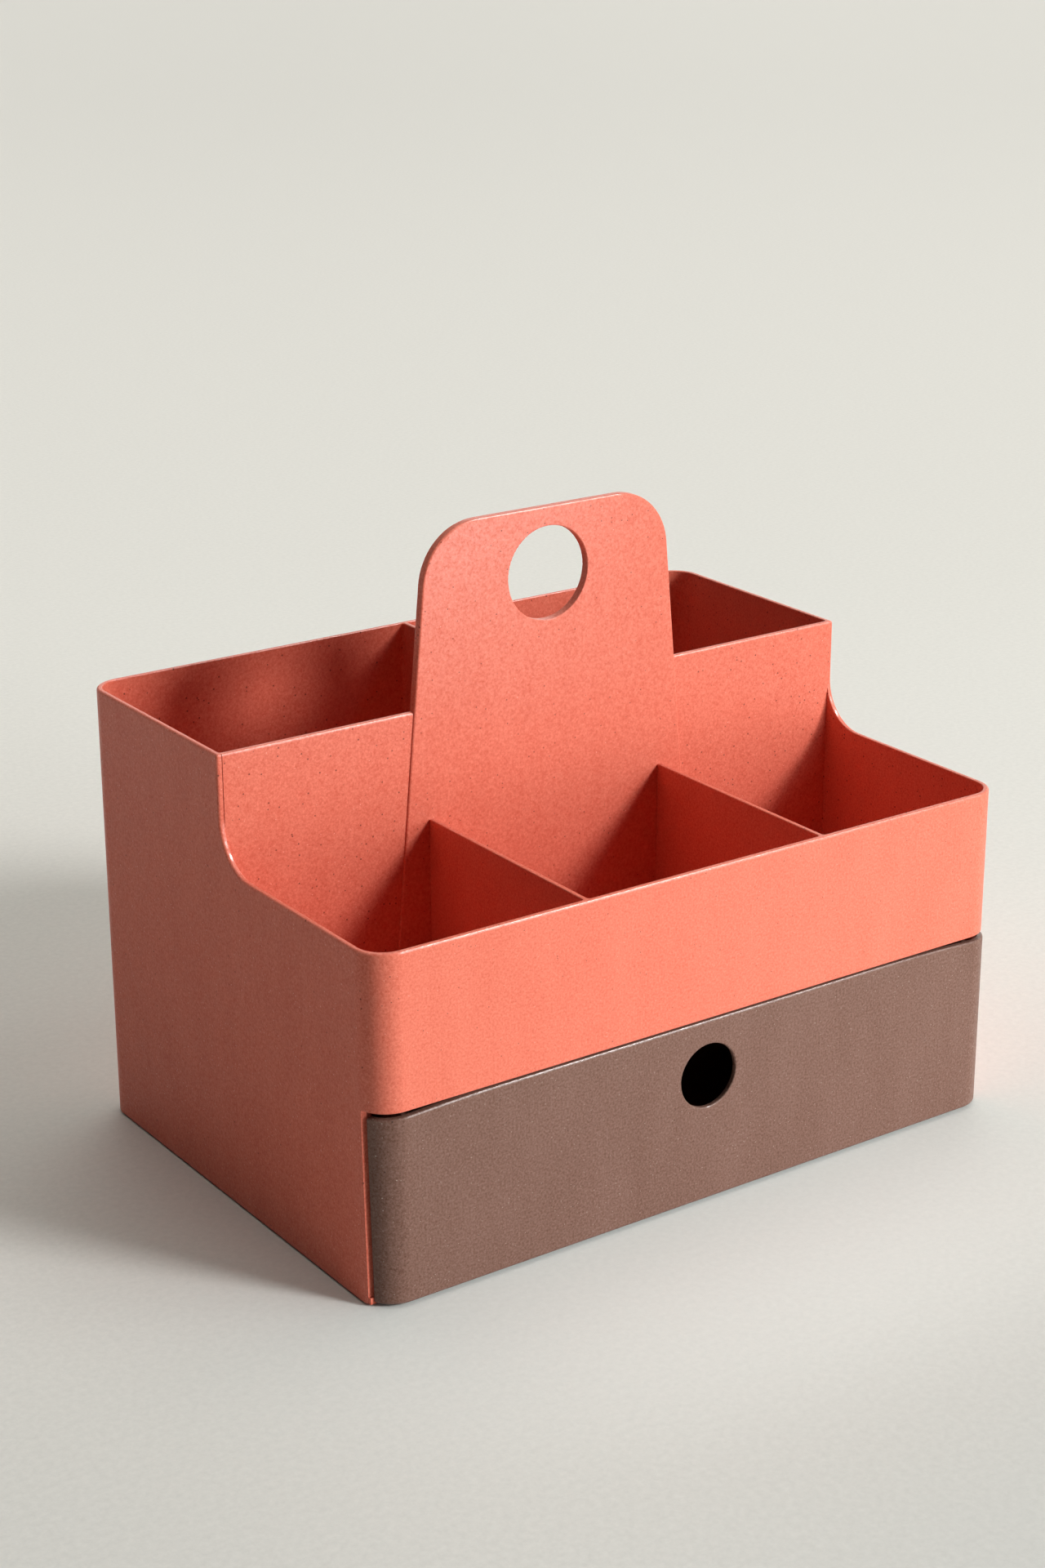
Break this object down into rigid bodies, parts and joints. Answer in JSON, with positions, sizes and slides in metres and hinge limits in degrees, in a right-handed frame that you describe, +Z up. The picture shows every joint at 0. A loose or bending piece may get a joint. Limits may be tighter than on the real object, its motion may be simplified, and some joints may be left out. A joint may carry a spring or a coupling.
{
  "type": "desk organizer caddy with a drawer",
  "caption": "Open desk organizer caddy with divided compartments, an upright carrying panel with a hand hole and a drawer below.",
  "frame": {"origin": "on the table, under the middle of the caddy body", "axes": "+X along the front to the right, +Y to the rear, +Z up; the drawer opens towards -Y"},
  "size_m": [0.2604, 0.184, 0.2237],
  "materials": {
    "coral_composite": "matt moulded composite, coral with fine flecks",
    "taupe_composite": "matt moulded composite, taupe with fine light flecks",
    "foot_rubber": "matt",
    "screw_steel": "zinc plated"
  },
  "bodies": {
    "caddy": {"caddy_body": "coral_composite", "handle_panel": "coral_composite", "base_plate": "coral_composite", "base_screws": "screw_steel", "foot_front_left": "foot_rubber", "foot_front_right": "foot_rubber", "foot_rear_left": "foot_rubber", "foot_rear_right": "foot_rubber"},
    "drawer": {"drawer": "taupe_composite"}
  },
  "joints": [
    {"name": "drawer_slide", "type": "slide", "parent": "caddy", "child": "drawer", "axis": [0, -1, 0], "range_m": [0, 0.135]}
  ]
}
